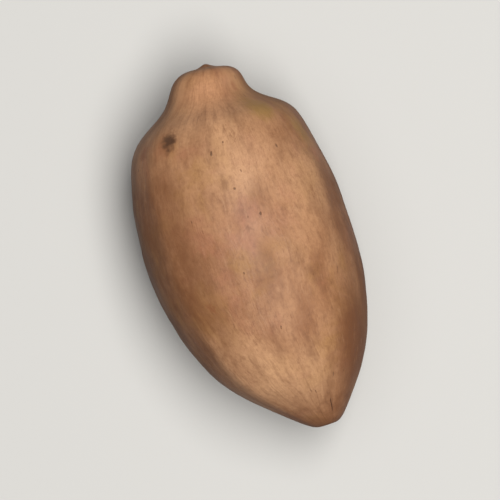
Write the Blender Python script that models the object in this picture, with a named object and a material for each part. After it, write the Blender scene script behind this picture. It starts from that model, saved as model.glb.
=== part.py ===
# Pecan in shell, lying on its side on the small flat spot that it rests on.
# Metres, +Z up. The beak at the apex points along +X and the stem scar along -X.
# The origin is under the middle of the nut, level with the surface that it lies on.

import math

import bmesh
import bpy
from mathutils import Matrix, Vector, noise

MM = 0.001

# Driving dimensions of the nut
LENGTH = 45.0 * MM  # stem scar to the point of the beak
WIDTH = 24.8 * MM  # at the widest place, level with the surface
HEIGHT = 24.2 * MM  # at the widest place, before the resting flat
FLAT_DEPTH = 0.26 * MM  # how much of the underside the resting flat takes off

# Control points of the smooth outline, as shares of the length and of half the width.
# The curve runs close by them, and they are closest together where it bends most.
OUTLINE = (
    (0.00, 0.00),  # the blunt beak
    (0.00, 0.13),
    (0.005, 0.235),
    (0.022, 0.32),
    (0.05, 0.36),  # the neck
    (0.08, 0.41),
    (0.107, 0.53),
    (0.135, 0.71),
    (0.175, 0.835),  # the shoulder
    (0.25, 0.915),
    (0.38, 0.99),
    (0.51, 1.005),  # the belly
    (0.64, 0.94),
    (0.76, 0.83),
    (0.85, 0.65),  # the cone down to the scar
    (0.91, 0.45),
    (0.97, 0.24),
    (1.00, 0.12),  # the stem scar
    (1.00, 0.00),
)

# The middle line is straight along the belly, and bows at both ends towards -Y
WIDEST = 0.46  # as a share of the length, from the beak
APEX_BOW = 1.9 * MM
BASE_BOW = 2.2 * MM
BEAK_LIFT = 0.7 * MM  # the beak also leans up
APEX_BOW_POWER = 3.5  # 1 bows from the belly on, and more bows only close to the end
BASE_BOW_POWER = 2.0
BEAK_TURN = 0.16  # slope of the end of the beak, which faces a little towards -Y
BEAK_FLATTENING = 0.28  # how much less high than wide the beak is, as a share

# Small things at the very ends
POINT_HEIGHT = 0.45 * MM  # the fine point in the middle of the beak
POINT_RADIUS = 0.75 * MM
SCAR_DEPTH = 0.3 * MM  # the dimple in the middle of the stem scar
SCAR_RADIUS = 0.65 * MM

# Ridges: the seam of the two halves lies in a plane through the axis, with a rib halfway between
SEAM_ANGLE = math.radians(46)  # from the top towards +Y
RIB_HEIGHT = 0.32 * MM  # along the whole nut
APEX_RIB_HEIGHT = 0.2 * MM  # more, towards the beak
APEX_RIB_REACH = 7.0 * MM
BASE_RIB_HEIGHT = 0.15 * MM  # more, towards the scar
BASE_RIB_REACH = 6.0 * MM
RIB_SHARPNESS = 2
SEAM_HEIGHT = 0.16 * MM
SEAM_SHARPNESS = 60
RELIEF_RADIUS = 10.0 * MM  # nearer to the axis than this, relief fades away

# Low swellings and dents all over the shell
LUMP_HEIGHT = 0.22 * MM
LUMP_SIZE = 8.5 * MM
DENT_HEIGHT = 0.07 * MM
DENT_SIZE = 3.6 * MM
LUMP_PLACE = Vector((3.1, 7.7, 1.9))  # where in the noise the nut lies

# How it lies: the base dips, so that the lowest place is under the centre of mass
REST_PITCH = math.radians(1.0)

# Faces of the solid
SECTORS = 72
RINGS_A_STEP = 4  # rings from one control point to the next
WELD = 0.001 * MM

SHELL_COLOUR = (0.47, 0.25, 0.13, 1.0)
SHELL_ROUGHNESS = 0.5

APEX_X = LENGTH / 2 - POINT_HEIGHT
BASE_X = -LENGTH / 2
WIDEST_X = LENGTH / 2 - WIDEST * LENGTH


def outline_point(step, t):
    """Place along X and radius on the outline, t of the way from one control point to the next."""
    first, last = OUTLINE[1], OUTLINE[-2]
    # Past the ends the curve goes on as its own mirror image
    points = ((first[0], -first[1]),) + OUTLINE + ((last[0], -last[1]),)
    weights = (
        (1 - t) ** 3 / 6,
        (3 * t**3 - 6 * t**2 + 4) / 6,
        (-3 * t**3 + 3 * t**2 + 3 * t + 1) / 6,
        t**3 / 6,
    )
    near = points[step : step + 4]
    along = sum(weight * point[0] for weight, point in zip(weights, near))
    radius = sum(weight * point[1] for weight, point in zip(weights, near))
    return APEX_X - along * (APEX_X - BASE_X), radius * WIDTH / 2


def apex_bow(x):
    """How far along its bow the middle line is at x, from 0 at the belly to 1 at the beak."""
    return max(0.0, (x - WIDEST_X) / (APEX_X - WIDEST_X)) ** APEX_BOW_POWER


def centre_line(x):
    """The middle of the nut at x."""
    if x > WIDEST_X:
        return Vector((x, -APEX_BOW * apex_bow(x), BEAK_LIFT * apex_bow(x)))
    bow = ((WIDEST_X - x) / (WIDEST_X - BASE_X)) ** BASE_BOW_POWER
    return Vector((x, -BASE_BOW * bow, 0))


def ridge_height(x, around):
    """How far seam and ribs stand out at x, at an angle from the top towards +Y."""
    from_seam = around - SEAM_ANGLE
    towards_apex = math.exp(-(((APEX_X - x) / APEX_RIB_REACH) ** 2))
    towards_base = math.exp(-(((x - BASE_X) / BASE_RIB_REACH) ** 2))
    rib = (0.5 + 0.5 * math.cos(4 * from_seam)) ** RIB_SHARPNESS
    seam = (0.5 + 0.5 * math.cos(2 * from_seam)) ** SEAM_SHARPNESS
    height = RIB_HEIGHT + APEX_RIB_HEIGHT * towards_apex + BASE_RIB_HEIGHT * towards_base
    return height * rib + SEAM_HEIGHT * seam


def lump_height(place):
    """How far the shell swells out at a place on it."""
    lump = noise.noise(place / LUMP_SIZE + LUMP_PLACE)
    dent = noise.noise(place / DENT_SIZE + LUMP_PLACE)
    return LUMP_HEIGHT * lump + DENT_HEIGHT * dent


def end_shift(x, radius):
    """How far along X the shell is moved for the point of the beak and the dimple of the scar."""
    if x > 0:
        return POINT_HEIGHT * math.exp(-((radius / POINT_RADIUS) ** 2))
    return SCAR_DEPTH * math.exp(-((radius / SCAR_RADIUS) ** 2))


def shell_point(x, radius, around):
    """The point of the shell at an angle from the top towards +Y."""
    outward = Vector((0, math.sin(around), math.cos(around)))
    tallness = HEIGHT / WIDTH * (1 - BEAK_FLATTENING * apex_bow(x))
    smooth = Vector((end_shift(x, radius), radius * outward.y, radius * outward.z * tallness))
    place = centre_line(x) + smooth
    place.x += BEAK_TURN * apex_bow(x) * smooth.y
    fade = math.sin(math.pi / 2 * min(1.0, radius / RELIEF_RADIUS)) ** 2
    return place + outward * (fade * (ridge_height(x, around) + lump_height(place)))


def make_shell(mesh):
    """Rings of points from the beak to the scar, with faces between them."""
    bm = bmesh.new()
    apex_pole = bm.verts.new(shell_point(APEX_X, 0, 0))
    base_pole = bm.verts.new(shell_point(BASE_X, 0, 0))
    rings = []
    for i in range(1, RINGS_A_STEP * (len(OUTLINE) - 1)):
        x, radius = outline_point(i // RINGS_A_STEP, i % RINGS_A_STEP / RINGS_A_STEP)
        angles = [2 * math.pi * j / SECTORS for j in range(SECTORS)]
        rings.append([bm.verts.new(shell_point(x, radius, around)) for around in angles])
    for j in range(SECTORS):
        k = (j + 1) % SECTORS
        bm.faces.new((apex_pole, rings[0][j], rings[0][k]))
        bm.faces.new((base_pole, rings[-1][k], rings[-1][j]))
        for near, far in zip(rings, rings[1:]):
            bm.faces.new((near[j], far[j], far[k], near[k]))
    bmesh.ops.rotate(bm, matrix=Matrix.Rotation(-REST_PITCH, 3, "Y"), verts=bm.verts)
    cut_resting_flat(bm)
    bmesh.ops.recalc_face_normals(bm, faces=bm.faces)
    bm.to_mesh(mesh)
    bm.free()


def cut_resting_flat(bm):
    """Slices a little off the underside and stands the nut on that flat, over the origin."""
    level = min(vert.co.z for vert in bm.verts) + FLAT_DEPTH
    cut = bmesh.ops.bisect_plane(
        bm,
        geom=list(bm.verts) + list(bm.edges) + list(bm.faces),
        dist=WELD,
        plane_co=(0, 0, level),
        plane_no=(0, 0, -1),
        clear_outer=True,
    )
    rim = [part for part in cut["geom_cut"] if isinstance(part, bmesh.types.BMEdge)]
    for edge in rim:
        edge.smooth = False
    bmesh.ops.edgeloop_fill(bm, edges=rim)
    sides = [[vert.co[axis] for vert in bm.verts] for axis in (0, 1)]
    middle = [(min(side) + max(side)) / 2 for side in sides]
    bmesh.ops.translate(bm, vec=(-middle[0], -middle[1], -level), verts=bm.verts)


def shell_material():
    """Tan, dull shell."""
    material = bpy.data.materials.new("pecan_shell")
    material.use_nodes = True
    shader = material.node_tree.nodes["Principled BSDF"]
    shader.inputs["Base Color"].default_value = SHELL_COLOUR
    shader.inputs["Roughness"].default_value = SHELL_ROUGHNESS
    shader.inputs["Metallic"].default_value = 0.0
    return material


def main():
    for obj in list(bpy.data.objects):
        bpy.data.objects.remove(obj)
    mesh = bpy.data.meshes.new("pecan_in_shell")
    make_shell(mesh)
    mesh.materials.append(shell_material())
    mesh.shade_smooth()
    nut = bpy.data.objects.new("pecan_in_shell", mesh)
    bpy.context.scene.collection.objects.link(nut)


main()
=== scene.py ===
import math

import bpy
from mathutils import Matrix, Vector, noise


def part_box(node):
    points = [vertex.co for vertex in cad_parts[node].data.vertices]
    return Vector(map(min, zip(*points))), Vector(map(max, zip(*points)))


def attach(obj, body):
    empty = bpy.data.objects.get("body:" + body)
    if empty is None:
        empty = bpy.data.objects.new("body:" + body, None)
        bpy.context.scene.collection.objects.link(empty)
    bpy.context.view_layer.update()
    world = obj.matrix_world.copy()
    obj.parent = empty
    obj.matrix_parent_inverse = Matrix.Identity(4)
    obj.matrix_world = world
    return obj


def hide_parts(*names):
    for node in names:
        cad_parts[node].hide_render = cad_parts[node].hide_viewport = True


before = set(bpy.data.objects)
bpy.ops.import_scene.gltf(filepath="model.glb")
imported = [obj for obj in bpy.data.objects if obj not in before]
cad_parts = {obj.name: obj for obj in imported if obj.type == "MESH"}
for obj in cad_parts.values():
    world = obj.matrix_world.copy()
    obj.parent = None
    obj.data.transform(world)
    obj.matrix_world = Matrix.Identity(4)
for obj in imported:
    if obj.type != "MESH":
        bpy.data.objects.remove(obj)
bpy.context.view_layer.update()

MM = 0.001

# The nut's form: the same named values as in the part's source
LENGTH = 45.0 * MM
WIDTH = 24.8 * MM
HEIGHT = 24.2 * MM
FLAT_DEPTH = 0.26 * MM
OUTLINE = (
    (0.00, 0.00),
    (0.00, 0.13),
    (0.005, 0.235),
    (0.022, 0.32),
    (0.05, 0.36),
    (0.08, 0.41),
    (0.107, 0.53),
    (0.135, 0.71),
    (0.175, 0.835),
    (0.25, 0.915),
    (0.38, 0.99),
    (0.51, 1.005),
    (0.64, 0.94),
    (0.76, 0.83),
    (0.85, 0.65),
    (0.91, 0.45),
    (0.97, 0.24),
    (1.00, 0.12),
    (1.00, 0.00),
)
WIDEST = 0.46
APEX_BOW = 1.9 * MM
BASE_BOW = 2.2 * MM
BEAK_LIFT = 0.7 * MM
APEX_BOW_POWER = 3.5
BASE_BOW_POWER = 2.0
BEAK_TURN = 0.16
BEAK_FLATTENING = 0.28
POINT_HEIGHT = 0.45 * MM
POINT_RADIUS = 0.75 * MM
SCAR_DEPTH = 0.3 * MM
SCAR_RADIUS = 0.65 * MM
SEAM_ANGLE = math.radians(46)
RIB_HEIGHT = 0.32 * MM
APEX_RIB_HEIGHT = 0.2 * MM
APEX_RIB_REACH = 7.0 * MM
BASE_RIB_HEIGHT = 0.15 * MM
BASE_RIB_REACH = 6.0 * MM
RIB_SHARPNESS = 2
SEAM_HEIGHT = 0.16 * MM
SEAM_SHARPNESS = 60
RELIEF_RADIUS = 10.0 * MM
LUMP_HEIGHT = 0.22 * MM
LUMP_SIZE = 8.5 * MM
DENT_HEIGHT = 0.07 * MM
DENT_SIZE = 3.6 * MM
LUMP_PLACE = Vector((3.1, 7.7, 1.9))
REST_PITCH = math.radians(1.0)

# What the scene adds to the form
SECTORS = 256
RINGS_A_STEP = 20
FINE_HEIGHT = 0.022 * MM
FINE_SIZE = 1.3 * MM
FLAT_ROUNDING = 0.03 * MM  # how softly the resting flat runs into the shell
CLEAR_OF_FLAT = 30 * FLAT_ROUNDING  # the flat changes nothing higher up than this
RUBBED_SHARE = 0.16  # how far the ribs are rubbed from the beak, as a share of the length

APEX_X = LENGTH / 2 - POINT_HEIGHT
BASE_X = -LENGTH / 2
WIDEST_X = LENGTH / 2 - WIDEST * LENGTH
RINGS = RINGS_A_STEP * (len(OUTLINE) - 1) - 1


def outline_point(step, t):
    """Place along X and radius on the outline, t of the way from one control point to the next."""
    first, last = OUTLINE[1], OUTLINE[-2]
    points = ((first[0], -first[1]),) + OUTLINE + ((last[0], -last[1]),)
    weights = (
        (1 - t) ** 3 / 6,
        (3 * t**3 - 6 * t**2 + 4) / 6,
        (-3 * t**3 + 3 * t**2 + 3 * t + 1) / 6,
        t**3 / 6,
    )
    near = points[step : step + 4]
    along = sum(weight * point[0] for weight, point in zip(weights, near))
    radius = sum(weight * point[1] for weight, point in zip(weights, near))
    return APEX_X - along * (APEX_X - BASE_X), radius * WIDTH / 2


def apex_bow(x):
    """How far along its bow the middle line is at x, from 0 at the belly to 1 at the beak."""
    return max(0.0, (x - WIDEST_X) / (APEX_X - WIDEST_X)) ** APEX_BOW_POWER


def centre_line(x):
    """The middle of the nut at x."""
    if x > WIDEST_X:
        return Vector((x, -APEX_BOW * apex_bow(x), BEAK_LIFT * apex_bow(x)))
    bow = ((WIDEST_X - x) / (WIDEST_X - BASE_X)) ** BASE_BOW_POWER
    return Vector((x, -BASE_BOW * bow, 0))


def rib_share(around):
    """1 on the seam and on the ribs halfway between, 0 in the valleys."""
    return (0.5 + 0.5 * math.cos(4 * (around - SEAM_ANGLE))) ** RIB_SHARPNESS


def ridge_height(x, around):
    """How far seam and ribs stand out at x, at an angle from the top towards +Y."""
    towards_apex = math.exp(-(((APEX_X - x) / APEX_RIB_REACH) ** 2))
    towards_base = math.exp(-(((x - BASE_X) / BASE_RIB_REACH) ** 2))
    seam = (0.5 + 0.5 * math.cos(2 * (around - SEAM_ANGLE))) ** SEAM_SHARPNESS
    height = RIB_HEIGHT + APEX_RIB_HEIGHT * towards_apex + BASE_RIB_HEIGHT * towards_base
    return height * rib_share(around) + SEAM_HEIGHT * seam


def lump_height(place):
    """How far the shell swells out at a place on it, fine unevenness included."""
    lump = noise.noise(place / LUMP_SIZE + LUMP_PLACE)
    dent = noise.noise(place / DENT_SIZE + LUMP_PLACE)
    fine = noise.noise(place / FINE_SIZE + LUMP_PLACE)
    return LUMP_HEIGHT * lump + DENT_HEIGHT * dent + FINE_HEIGHT * fine


def end_shift(x, radius):
    """How far along X the shell is moved for the point of the beak and the dimple of the scar."""
    if x > 0:
        return POINT_HEIGHT * math.exp(-((radius / POINT_RADIUS) ** 2))
    return SCAR_DEPTH * math.exp(-((radius / SCAR_RADIUS) ** 2))


def shell_point(x, radius, around):
    """The point of the shell at an angle from the top towards +Y."""
    outward = Vector((0, math.sin(around), math.cos(around)))
    tallness = HEIGHT / WIDTH * (1 - BEAK_FLATTENING * apex_bow(x))
    smooth = Vector((end_shift(x, radius), radius * outward.y, radius * outward.z * tallness))
    place = centre_line(x) + smooth
    place.x += BEAK_TURN * apex_bow(x) * smooth.y
    fade = math.sin(math.pi / 2 * min(1.0, radius / RELIEF_RADIUS)) ** 2
    return place + outward * (fade * (ridge_height(x, around) + lump_height(place)))


def on_the_flat(points):
    """The points as they lie: turned, cut off at the resting flat, and stood in the solid's box."""
    turn = Matrix.Rotation(-REST_PITCH, 3, "Y")
    points = [turn @ point for point in points]
    level = min(point.z for point in points) + FLAT_DEPTH
    sides = [[point[axis] for point in points] for axis in (0, 1)]
    low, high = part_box("pecan_in_shell")
    shift = [(low[axis] + high[axis] - min(sides[axis]) - max(sides[axis])) / 2 for axis in (0, 1)]
    rested = []
    for point in points:
        height = point.z - level
        if height < CLEAR_OF_FLAT:
            height = FLAT_ROUNDING * math.log1p(math.exp(height / FLAT_ROUNDING))
        rested.append((point.x + shift[0], point.y + shift[1], low[2] + height))
    return rested


def shell_points():
    """The points from beak to scar, with what the material reads at each: its place and ridges."""
    points, grain, marks = [], [], []

    def add(x, radius, around):
        points.append(shell_point(x, radius, around))
        along = (APEX_X - x) / LENGTH
        near_apex = math.exp(-((along / RUBBED_SHARE) ** 2))
        grain.append((math.cos(around), math.sin(around), along))
        marks.append((radius / MM, rib_share(around), near_apex))

    add(APEX_X, 0, 0)
    for i in range(1, RINGS + 1):
        x, radius = outline_point(i // RINGS_A_STEP, i % RINGS_A_STEP / RINGS_A_STEP)
        for j in range(SECTORS):
            add(x, radius, 2 * math.pi * j / SECTORS + math.pi)
    add(BASE_X, 0, 0)
    return points, grain, marks


def shell_faces():
    """The faces between the points, and for every corner its place on the flat map."""
    base_pole = 1 + RINGS * SECTORS

    def ring(i, j):
        return 1 + (i - 1) * SECTORS + j % SECTORS

    faces, corners = [], []
    for j in range(SECTORS):
        left, right = j / SECTORS, (j + 1) / SECTORS
        middle = (left + right) / 2
        faces.append((0, ring(1, j), ring(1, j + 1)))
        corners += [(middle, 0), (left, 1), (right, 1)]
        for i in range(1, RINGS):
            faces.append((ring(i, j), ring(i + 1, j), ring(i + 1, j + 1), ring(i, j + 1)))
            corners += [(left, i), (left, i + 1), (right, i + 1), (right, i)]
        faces.append((base_pole, ring(RINGS, j + 1), ring(RINGS, j)))
        corners += [(middle, RINGS + 1), (right, RINGS), (left, RINGS)]
    return faces, [(across, 1 - i / (RINGS + 1)) for across, i in corners]


def make_shell():
    points, grain, marks = shell_points()
    faces, corners = shell_faces()
    mesh = bpy.data.meshes.new("pecan_shell")
    mesh.from_pydata(on_the_flat(points), [], faces)
    for name, values in (("grain", grain), ("marks", marks)):
        attribute = mesh.attributes.new(name, "FLOAT_VECTOR", "POINT")
        attribute.data.foreach_set("vector", [number for value in values for number in value])
    layer = mesh.uv_layers.new(name="OFBake")
    layer.data.foreach_set("uv", [number for corner in corners for number in corner])
    mesh.shade_smooth()
    mesh.update()
    return mesh


class Nodes:
    """Short names for the nodes of one material."""

    def __init__(self, name):
        self.material = bpy.data.materials.new(name)
        self.material.use_nodes = True
        self.tree = self.material.node_tree
        self.shader = self.tree.nodes["Principled BSDF"]

    def set(self, socket, value):
        if isinstance(value, bpy.types.NodeSocket):
            self.tree.links.new(value, socket)
        else:
            socket.default_value = value

    def node(self, kind, **settings):
        node = self.tree.nodes.new(kind)
        for name, value in settings.items():
            setattr(node, name, value)
        return node

    def math(self, operation, a, b=0.0, clamp=False):
        node = self.node("ShaderNodeMath", operation=operation, use_clamp=clamp)
        self.set(node.inputs[0], a)
        self.set(node.inputs[1], b)
        return node.outputs[0]

    def add(self, a, b, clamp=False):
        return self.math("ADD", a, b, clamp)

    def product(self, first, *others):
        for other in others:
            first = self.math("MULTIPLY", first, other)
        return first

    def vector_math(self, operation, a, b=(0, 0, 0)):
        node = self.node("ShaderNodeVectorMath", operation=operation)
        self.set(node.inputs[0], a)
        self.set(node.inputs[1], b)
        return node.outputs

    def times(self, vector, scale):
        return self.vector_math("MULTIPLY", vector, scale)[0]

    def plus(self, vector, other):
        return self.vector_math("ADD", vector, other)[0]

    def dot(self, vector, other):
        return self.vector_math("DOT_PRODUCT", vector, other)["Value"]

    def length(self, vector):
        return self.vector_math("LENGTH", vector)["Value"]

    def noise(self, vector, detail, rough, distortion=0.0):
        node = self.node("ShaderNodeTexNoise")
        self.set(node.inputs["Vector"], vector)
        node.inputs["Scale"].default_value = 1.0
        node.inputs["Detail"].default_value = detail
        node.inputs["Roughness"].default_value = rough
        node.inputs["Distortion"].default_value = distortion
        return node.outputs

    def cells(self, vector):
        node = self.node("ShaderNodeTexVoronoi")
        self.set(node.inputs["Vector"], vector)
        node.inputs["Scale"].default_value = 1.0
        return node.outputs

    def ramp(self, value, low, high, out_low=0.0, out_high=1.0):
        """value eased from low..high to out_low..out_high, and no further."""
        node = self.node("ShaderNodeMapRange", interpolation_type="SMOOTHSTEP")
        self.set(node.inputs["Value"], value)
        node.inputs["From Min"].default_value = low
        node.inputs["From Max"].default_value = high
        node.inputs["To Min"].default_value = out_low
        node.inputs["To Max"].default_value = out_high
        return node.outputs["Result"]

    def mix(self, share, a, b):
        node = self.node("ShaderNodeMix", data_type="RGBA")
        self.set(node.inputs["Factor"], share)
        self.set(node.inputs[6], a)
        self.set(node.inputs[7], b)
        return node.outputs[2]

    def attribute(self, name):
        return self.node("ShaderNodeAttribute", attribute_name=name).outputs["Vector"]

    def split(self, vector):
        node = self.node("ShaderNodeSeparateXYZ")
        self.set(node.inputs[0], vector)
        return node.outputs


class ShellNodes(Nodes):
    """The nodes of the shell's material, with the places that its marks are set out by."""

    def __init__(self, name):
        super().__init__(name)
        self.place = self.node("ShaderNodeTexCoord").outputs["Object"]
        # Cosine and sine of the angle from the top towards +Y, and share of the length from the beak
        self.grain = self.attribute("grain")
        self.upward, _, self.along = self.split(self.grain)
        # Millimetres from the axis, 1 on a rib, and 1 at the beak
        self.radius, self.rib, self.near_apex = self.split(self.attribute("marks"))
        # The same grain, wavering and a little ragged
        self.ragged = self.stir(0.77 * MM, 3, 0.6)
        waver = self.stir(7.7 * MM, 3, 0.5)
        self.lines = self.plus(self.grain, self.times(waver, (0.16, 0.16, 0.05)))
        self.lines = self.plus(self.lines, self.times(self.ragged, (0.02, 0.02, 0.012)))

    def stir(self, size, detail, rough):
        """A vector that points every way, and changes over about a size."""
        scaled = self.times(self.place, (1 / size, 1 / size, 1 / size))
        return self.plus(self.noise(scaled, detail, rough)["Color"], (-0.5, -0.5, -0.5))

    def blotches(self, size, detail, rough, shift=(0, 0, 0), distortion=0.0):
        """Noise that is alike in every direction, with blotches of about a size."""
        scaled = self.times(self.place, (1 / size, 1 / size, 1 / size))
        return self.noise(self.plus(scaled, shift), detail, rough, distortion)["Fac"]

    def strands(self, around, along, detail, rough, shift=(0, 0, 0)):
        """Noise that follows the grain: how often it changes in a radian, and from end to end."""
        scaled = self.times(self.lines, (around, around, along))
        return self.noise(self.plus(scaled, shift), detail, rough)["Fac"]


def rgb(red, green, blue):
    """A colour as a paint program gives it, from 0 to 255, for a node."""
    shares = (value / 255 for value in (red, green, blue))
    linear = (v / 12.92 if v <= 0.04045 else ((v + 0.055) / 1.055) ** 2.4 for v in shares)
    return (*linear, 1.0)


GROUND_LIGHT = rgb(168, 123, 88)
GROUND_DARK = rgb(144, 99, 67)
GOLDEN = rgb(151, 109, 63)
PINK = rgb(155, 102, 76)
MOTTLE = rgb(104, 66, 43)
PALE = rgb(185, 143, 107)
WARM = rgb(202, 147, 107)
# a pale tone used for painted light on the upper side
PALE_TONE_AND_PAINTED_LIGHT = rgb(206, 160, 120)
BROWN = rgb(109, 67, 40)
DARK = rgb(62, 36, 23)
RUSTY = rgb(118, 66, 40)
OLIVE = rgb(140, 108, 52)
SCAR = rgb(160, 126, 92)
FLOOR = rgb(192, 191, 188)
FLOOR_BOUNCE = rgb(145, 144, 142)  # the floor's colour where its light falls back on the nut
SKY = rgb(238, 240, 244)

# Mottling: how often it changes in a radian, the noise where it begins and is full, and its share
MOTTLING = (
    (5, 0.44, 0.70, 0.30),
    (13, 0.48, 0.72, 0.32),
    (34, 0.50, 0.74, 0.30),
)
MOTTLE_SHORTNESS = 1.9  # how much oftener it changes from end to end

# Strips of painted shade along the sides, in brown: radians from the top towards +Y, how near to that
# the strip begins and is full, as cosines, and where it begins and ends as a share of the length from
# the beak. The first, beside the seam, is partly a browner stain as well.
STAIN_AND_PAINTED_SHADE_STRIPS = (
    (SEAM_ANGLE + 0.28, 0.78, 0.99, 0.16, 0.90),
    (-1.42, 0.87, 0.98, 0.3, 1.0),
)
SIDE_START = 0.14  # over how much of the length a strip comes in
SIDE_END = 0.2  # and fades out
SIDE_SHARE = 0.85

# Patches and flecks on the upper side: share of the length from the beak, degrees from the top
# towards +Y, half of the length along the grain and half of the width in millimetres, strength,
# colour. The patches lie under the mottling, and the flecks over it. Among the patches are painted
# light and painted shade.
PATCHES_WITH_PAINTED_LIGHT_AND_SHADE = (
    # the patches in the lightest colour are painted light, partly a paler tone
    (0.24, -8, 5.0, 4.0, 0.4, PALE_TONE_AND_PAINTED_LIGHT),
    (0.118, 3, 3.2, 6.0, 0.6, PALE_TONE_AND_PAINTED_LIGHT),
    (0.08, 2, 3.8, 5.5, 0.6, WARM),
    (0.36, -45, 6.0, 3.6, 0.45, PALE_TONE_AND_PAINTED_LIGHT),
    (0.79, 31, 6.0, 4.5, 0.7, PALE_TONE_AND_PAINTED_LIGHT),
    (0.84, -4, 4.5, 4.5, 0.5, PALE_TONE_AND_PAINTED_LIGHT),
    # painted shade along the limb on the -Y side
    (0.80, -54, 7.5, 4.2, 0.95, BROWN),
    # partly a browner stain and partly painted shade beside the seam
    (0.38, 43, 8.0, 3.2, 0.4, BROWN),
    (0.43, -6, 3.5, 4.0, 0.35, PINK),
)
FLECKS = (
    (0.162, 36, 1.6, 1.4, 0.55, RUSTY),
    (0.158, 33, 1.1, 1.0, 0.95, DARK),
    (0.172, 57, 0.7, 1.0, 0.6, RUSTY),
    (0.028, 30, 0.5, 0.7, 0.6, BROWN),
    (0.062, -40, 0.6, 0.7, 0.75, RUSTY),
    (0.142, -40, 1.8, 2.0, 0.75, OLIVE),
    (0.235, -64, 2.2, 1.4, 0.5, OLIVE),
    (0.19, -52, 2.0, 0.9, 0.3, RUSTY),
    (0.43, -3, 0.35, 0.35, 0.45, BROWN),
    (0.39, -46, 0.9, 0.3, 0.4, BROWN),
    (0.60, 33, 0.6, 0.4, 0.45, RUSTY),
)
MARK_RADIUS = 10.0  # how far from the axis the marks are, in millimetres


def ground_colour(n):
    """Broad patches, then smaller ones that are more golden or pinker."""
    patches = n.ramp(n.strands(2.6, 5, 4, 0.6), 0.36, 0.66)
    colour = n.mix(patches, GROUND_LIGHT, GROUND_DARK)
    golden = n.ramp(n.blotches(6.67 * MM, 4, 0.6, (46.5, 0, 0), 0.4), 0.48, 0.68, 0.0, 0.6)
    colour = n.mix(golden, colour, GOLDEN)
    pink = n.ramp(n.blotches(5.88 * MM, 4, 0.6, (0, 45.9, 0), 0.4), 0.50, 0.70, 0.0, 0.6)
    return n.mix(pink, colour, PINK)


def mottled(n, colour):
    """Cloudy brown mottling at several sizes, grit, and pale wisps."""
    for around, low, high, share in MOTTLING:
        clouds = n.strands(around, MOTTLE_SHORTNESS * around, 4, 0.62)
        colour = n.mix(n.ramp(clouds, low, high, 0.0, share), colour, MOTTLE)
    grit = n.blotches(0.435 * MM, 3, 0.65)
    colour = n.mix(n.ramp(grit, 0.35, 0.8, 0.0, 0.24), colour, MOTTLE)
    wisps = n.strands(20, 17, 4, 0.6, (7, 0, 0))
    return n.mix(n.ramp(wisps, 0.56, 0.78, 0.0, 0.30), colour, PALE)


def stain_and_painted_shade_sides(n, colour):
    """Painted shade on both sides, in broken brown patches, most of all beside the seam, where it is
    partly a browner stain as well.
    """
    broken = n.ramp(n.strands(4, 5, 6, 0.68), 0.34, 0.58, 0.3, 1.0)
    outward = n.times(n.lines, (1, 1, 0))
    for turn, low, high, start, end in STAIN_AND_PAINTED_SHADE_STRIPS:
        towards = n.dot(outward, (math.cos(turn), math.sin(turn), 0))
        side = n.ramp(n.math("ABSOLUTE", towards), low, high)
        start_share = n.ramp(n.along, start, start + SIDE_START)
        end_share = n.ramp(n.along, end - SIDE_END, end, SIDE_SHARE, 0.0)
        colour = n.mix(n.product(side, broken, start_share, end_share), colour, BROWN)
    return colour


def brown_ended(n, colour):
    """Browner in patches towards both ends, and all over at the tip with the scar."""
    ends = n.add(n.ramp(n.along, 0.0, 0.22, 0.45, 0.0), n.ramp(n.along, 0.80, 1.0), clamp=True)
    patches = n.ramp(n.blotches(3.33 * MM, 4, 0.62), 0.35, 0.60, 0.0, 0.5)
    colour = n.mix(n.product(ends, patches), colour, BROWN)
    uneven = n.ramp(n.blotches(2.38 * MM, 4, 0.62), 0.3, 0.7, -0.03, 0.03)
    return n.mix(n.ramp(n.add(n.along, uneven), 0.90, 0.98, 0.0, 0.7), colour, BROWN)


def dash_field(n):
    """Where dark dashes lie along the grain: many by the beak, fewer on top and by the scar."""
    by_beak = n.product(n.ramp(n.along, 0.1, 0.36, 0.125, 0.0), n.ramp(n.along, 0.0, 0.09, 0.35, 1.0))
    by_beak = n.product(by_beak, n.ramp(n.upward, -0.1, 0.7, 1.0, 0.2))
    by_scar = n.ramp(n.along, 0.84, 1.0, 0.0, 0.07)
    blots = n.ramp(n.blotches(12.5 * MM, 2, 0.5), 0.45, 0.7, 0.0, 0.075)
    field = n.strands(17, 11, 5, 0.62)
    return n.add(n.add(field, n.add(by_beak, by_scar)), blots)


def hairlined(n, colour):
    """Hairlines along the grain, in patches."""
    hairs = n.ramp(n.strands(75, 9, 3, 0.6), 0.57, 0.68)
    patches = n.ramp(n.blotches(5.88 * MM, 3, 0.5, (34, 17, 0)), 0.45, 0.65, 0.0, 0.5)
    return n.mix(n.product(hairs, patches), colour, BROWN)


def speck_share(n):
    """Small specks of several sizes, most of them longer than wide, in a few of the cells."""
    spots = n.cells(n.times(n.lines, (11, 11, 20)))
    drawn, spread, _ = n.split(spots["Color"])
    size = n.add(n.product(spread, 0.1), 0.05)
    speck = n.ramp(n.math("SUBTRACT", size, spots["Distance"]), -0.03, 0.05)
    return n.product(speck, n.ramp(drawn, 0.80, 0.82))


def marked(n, colour, marks):
    """Marks on the upper side, with ragged edges: the nut's own patches and flecks, and patches of
    painted light and painted shade.
    """
    bent = n.plus(n.grain, n.times(n.ragged, (0.13, 0.13, 0.03)))
    bent = n.plus(bent, n.times(n.stir(2.0 * MM, 3, 0.6), (0.14, 0.14, 0.035)))
    for along, around, half_length, half_width, strength, fleck_colour in marks:
        turn = math.radians(around)
        off = n.plus(bent, (-math.cos(turn), -math.sin(turn), -along))
        across = MARK_RADIUS / half_width
        off = n.times(off, (across, across, LENGTH / MM / half_length))
        colour = n.mix(n.ramp(n.length(off), 0.3, 1.3, strength, 0.0), colour, fleck_colour)
    return colour


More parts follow.
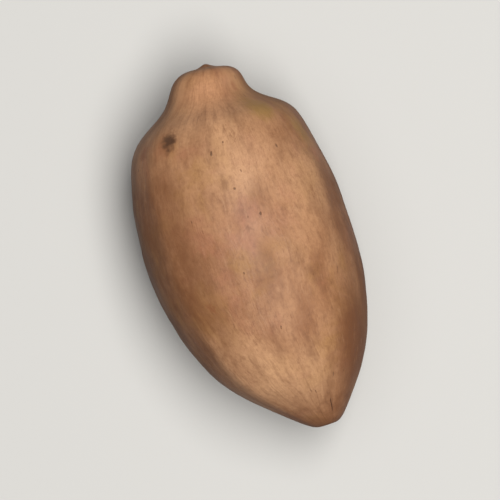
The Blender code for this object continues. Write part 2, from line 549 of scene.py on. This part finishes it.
def scar_parts(n):
    """Shares of the torn, fibrous scar and of the brown ring around it."""
    back = n.ramp(n.along, 0.5, 0.55)
    torn = n.add(n.radius, n.ramp(n.blotches(0.667 * MM, 3, 0.6), 0.3, 0.7, -0.35, 0.35))
    fibres = n.ramp(n.blotches(0.238 * MM, 3, 0.6), 0.35, 0.65, 0.35, 0.85)
    scar = n.product(n.ramp(torn, 0.75, 1.15, 1.0, 0.0), back, fibres)
    ring = n.product(n.ramp(torn, 1.0, 2.1, 1.0, 0.0), back)
    return scar, ring


def set_relief(n, dashes, specks):
    """Faint striations, grain and pits too fine for the mesh."""
    striations = n.product(n.strands(40, 24, 4, 0.6), 0.4)
    skin = n.product(n.blotches(0.435 * MM, 4, 0.65), 0.3)
    pits = n.add(n.product(specks, 0.35), n.product(dashes, 0.12))
    bump = n.node("ShaderNodeBump")
    bump.inputs["Strength"].default_value = 0.7
    bump.inputs["Distance"].default_value = 0.12 * MM
    n.set(bump.inputs["Height"], n.math("SUBTRACT", n.add(striations, skin), pits))
    n.set(n.shader.inputs["Normal"], bump.outputs[0])


def set_gloss(n, dashes, scar_ring):
    """Satin, duller in dusty patches, on dashes and around the scar."""
    rough = n.ramp(n.blotches(6.67 * MM, 3, 0.6, (0, 0, 60)), 0.35, 0.65, 0.47, 0.6)
    rough = n.add(rough, n.product(dashes, 0.1))
    rough = n.add(rough, n.product(scar_ring, 0.25), clamp=True)
    n.set(n.shader.inputs["Roughness"], rough)
    n.shader.inputs["Specular IOR Level"].default_value = 0.28


def shell_material():
    n = ShellNodes("pecan_shell")
    colour = ground_colour(n)
    # patches of tone, of painted light and of painted shade
    colour = marked(n, colour, PATCHES_WITH_PAINTED_LIGHT_AND_SHADE)
    colour = mottled(n, colour)
    # painted shade along the sides, partly a stain beside the seam
    colour = stain_and_painted_shade_sides(n, colour)
    colour = brown_ended(n, colour)

    field = dash_field(n)
    colour = n.mix(n.ramp(field, 0.63, 0.80, 0.0, 0.45), colour, BROWN)
    dashes = n.ramp(field, 0.71, 0.79)
    colour = n.mix(n.product(dashes, 0.82), colour, DARK)
    colour = hairlined(n, colour)
    specks = speck_share(n)
    colour = n.mix(n.product(specks, 0.7), colour, DARK)
    colour = marked(n, colour, FLECKS)

    # The ribs are rubbed lighter near the beak, whose point is brown
    colour = n.mix(n.product(n.rib, n.near_apex, 0.35), colour, PALE)
    front = n.ramp(n.along, 0.45, 0.5, 0.7, 0.0)
    colour = n.mix(n.product(n.ramp(n.radius, 0.35, 1.5, 1.0, 0.0), front), colour, BROWN)
    scar, scar_ring = scar_parts(n)
    colour = n.mix(n.product(scar_ring, 0.65), colour, BROWN)
    colour = n.mix(scar, colour, SCAR)

    n.set(n.shader.inputs["Base Color"], colour)
    set_gloss(n, dashes, scar_ring)
    set_relief(n, dashes, specks)
    return n.material


def floor_material():
    n = Nodes("pale_floor")
    seen = n.node("ShaderNodeLightPath").outputs["Is Camera Ray"]
    n.set(n.shader.inputs["Base Color"], n.mix(seen, FLOOR_BOUNCE, FLOOR))
    n.shader.inputs["Roughness"].default_value = 0.8
    return n.material


# How the nut lies in the picture: the world's directions that are up and right there
TILT = math.radians(18.5)  # how far the nut leans to the left
UP = Vector((math.cos(TILT), -math.sin(TILT), 0))
RIGHT = Vector((-math.sin(TILT), -math.cos(TILT), 0))
MIDDLE = Vector((0, 0, 12 * MM))  # what camera and lights look at

CAMERA_DISTANCE = 0.6
VIEW_SIZE = 59 * MM  # what the picture shows at the nut, from edge to edge
SENSOR_MM = 36

# Lights: how far above the nut and to the right of it, width and height, watts, colour
LIGHTS = {
    "key": (0.55, 0.1, 0.24, 0.6, 3.85, (1, 0.985, 0.96)),
    "overhead": (1.0, 0.0, 1.2, 1.2, 3.8, (1, 1, 1)),
}
SKY_STRENGTH = 0.1

FLOOR_REACH = 3.0  # from the nut to each edge of the floor
FLOOR_DROP = 0.02 * MM  # so that the resting flat doesn't flicker with the floor


def facing(direction, up):
    """The turn of a camera or a light that looks along a direction."""
    back = -direction.normalized()
    right = up.cross(back).normalized()
    return Matrix((right, back.cross(right), back)).transposed().to_4x4()


def add_light(name, above, rightward, width, height, watts, colour):
    light = bpy.data.lights.new(name, "AREA")
    light.shape = "ELLIPSE"
    light.size = width
    light.size_y = height
    light.energy = watts
    light.color = colour
    lamp = bpy.data.objects.new(name, light)
    place = MIDDLE + Vector((0, 0, above)) + rightward * RIGHT
    lamp.matrix_world = Matrix.Translation(place) @ facing(MIDDLE - place, UP)
    bpy.context.scene.collection.objects.link(lamp)


def add_camera():
    """Straight above the nut."""
    camera = bpy.data.cameras.new("camera")
    camera.sensor_width = SENSOR_MM
    camera.lens = SENSOR_MM * CAMERA_DISTANCE / VIEW_SIZE
    camera.clip_start = 0.01
    camera.clip_end = 20
    eye = bpy.data.objects.new("camera", camera)
    place = MIDDLE + Vector((0, 0, CAMERA_DISTANCE))
    eye.matrix_world = Matrix.Translation(place) @ facing(Vector((0, 0, -1)), UP)
    bpy.context.scene.collection.objects.link(eye)
    bpy.context.scene.camera = eye


def add_floor():
    mesh = bpy.data.meshes.new("floor")
    far = FLOOR_REACH
    corners = [(-far, -far, 0), (far, -far, 0), (far, far, 0), (-far, far, 0)]
    mesh.from_pydata(corners, [], [(0, 1, 2, 3)])
    mesh.materials.append(floor_material())
    floor = bpy.data.objects.new("floor", mesh)
    floor.location = (0, 0, -FLOOR_DROP)
    bpy.context.scene.collection.objects.link(floor)


def add_world():
    world = bpy.data.worlds.new("world")
    world.use_nodes = True
    background = world.node_tree.nodes["Background"]
    background.inputs["Color"].default_value = SKY
    background.inputs["Strength"].default_value = SKY_STRENGTH
    bpy.context.scene.world = world


def main():
    shell = bpy.data.objects.new("pecan_shell", make_shell())
    shell.data.materials.append(shell_material())
    bpy.context.scene.collection.objects.link(shell)
    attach(shell, "root")
    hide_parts("pecan_in_shell")

    add_floor()
    add_world()
    for name, settings in LIGHTS.items():
        add_light(name, *settings)
    add_camera()
    bpy.context.scene.view_settings.view_transform = "Standard"


main()
